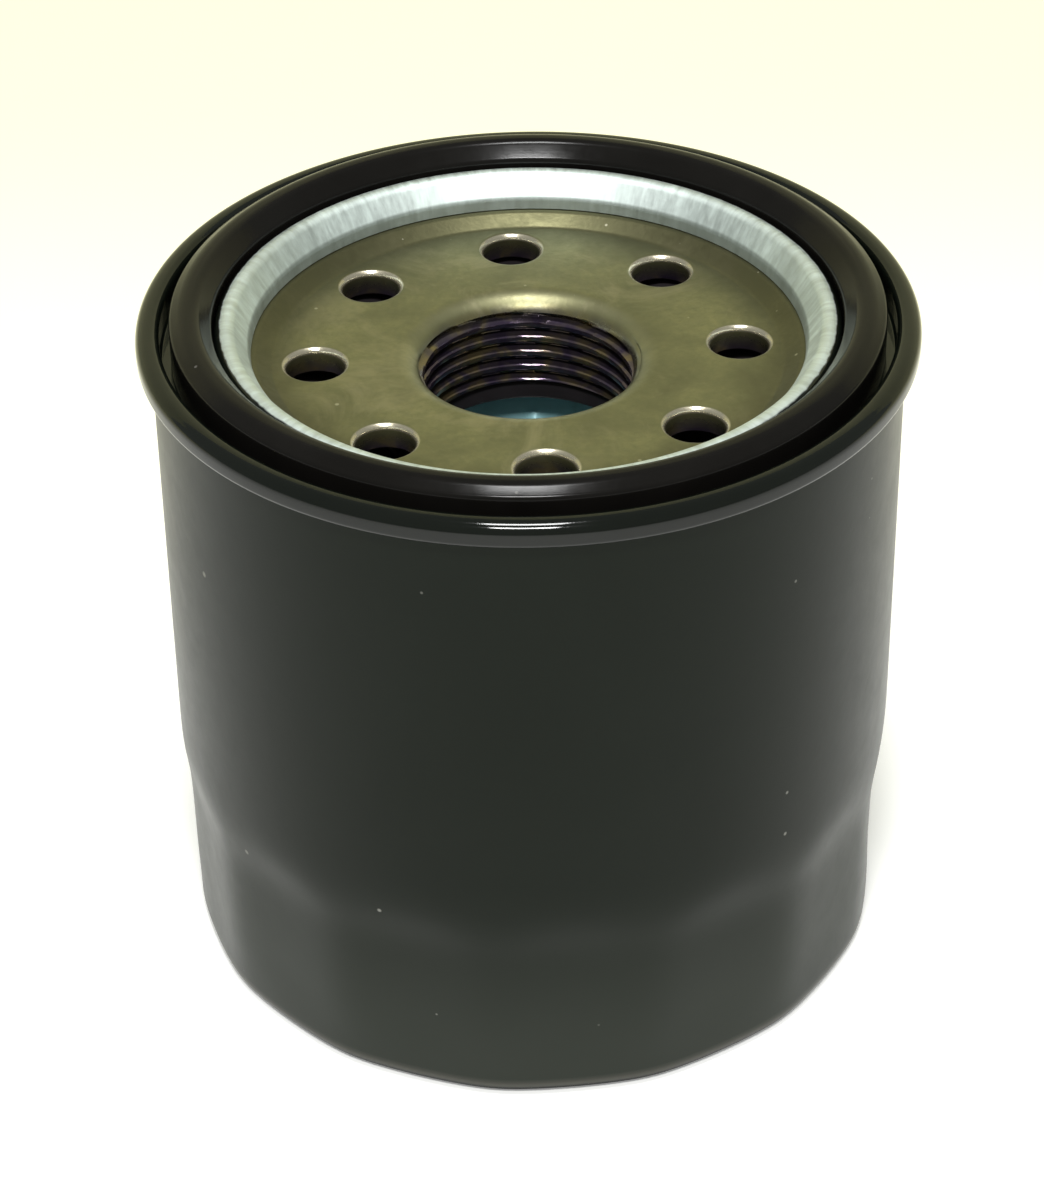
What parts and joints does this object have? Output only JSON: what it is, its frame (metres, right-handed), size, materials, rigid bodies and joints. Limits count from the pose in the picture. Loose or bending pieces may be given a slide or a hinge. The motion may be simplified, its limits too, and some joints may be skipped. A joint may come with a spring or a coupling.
{
  "type": "spin-on oil filter",
  "caption": "Spin-on engine oil filter: black can with wrench flats, threaded tapping plate with inlet holes, rubber gasket, pleated element, bypass and anti-drain valves.",
  "frame": {"origin": "centre of the closed end's base, on the surface that the filter stands on", "axes": "+Z along the filter's axis towards the threaded end; the flats and holes are turned as seen from -Y"},
  "size_m": [0.0686, 0.0686, 0.0644],
  "materials": {
    "black_paint": "satin black baked paint on drawn steel sheet",
    "zinc_sheet": "zinc-coated sheet, bare inside the lip and black-painted outside it",
    "sealing_compound": "thin flexible seam compound",
    "yellow_zinc_plate": "yellowish passivated zinc, satin",
    "nitrile_rubber": "black moulded rubber, oily sheen",
    "valve_rubber": "black moulded rubber, matte",
    "blue_zinc": "pale blue passivated zinc",
    "blue_zinc_tube": "pale passivated zinc, perforated",
    "plastisol": "cured reddish adhesive",
    "filter_paper": "resin-treated cellulose paper",
    "tinned_strip": "thin tinned strip",
    "valve_steel": "plain zinc-plated pressing",
    "spring_steel": "oiled spring wire"
  },
  "bodies": {
    "shell": {"can": "black_paint", "seaming_lid": "zinc_sheet", "seam_sealant": "sealing_compound", "tapping_plate": "yellow_zinc_plate", "gasket": "nitrile_rubber", "support_spring": "spring_steel"},
    "anti_drain_lip": {"anti_drain_valve": "valve_rubber"},
    "element": {"top_end_cap": "blue_zinc", "top_potting": "plastisol", "pleated_media": "filter_paper", "media_clip": "tinned_strip", "centre_tube": "blue_zinc_tube", "bottom_potting": "plastisol", "bottom_end_cap": "blue_zinc", "bypass_seat": "valve_steel", "bypass_spring": "spring_steel", "bypass_cage": "valve_steel"},
    "poppet": {"bypass_seal": "valve_rubber", "bypass_poppet": "valve_steel", "bypass_pin": "valve_steel"}
  },
  "joints": [
    {"name": "anti_drain_open", "type": "slide", "parent": "shell", "child": "anti_drain_lip", "axis": [0, 0, -1], "range_m": [0, 0.0015], "stiffness_N_per_m": 1500, "springref_m": -0.001, "deforming": ["anti_drain_valve"]},
    {"name": "element_float", "type": "slide", "parent": "shell", "child": "element", "axis": [0, 0, -1], "range_m": [0, 0.0015], "stiffness_N_per_m": 6000, "springref_m": -0.002, "deforming": ["support_spring"]},
    {"name": "bypass_open", "type": "slide", "parent": "element", "child": "poppet", "axis": [0, 0, 1], "range_m": [0, 0.0025], "stiffness_N_per_m": 4000, "springref_m": -0.003, "deforming": ["bypass_spring"]}
  ]
}
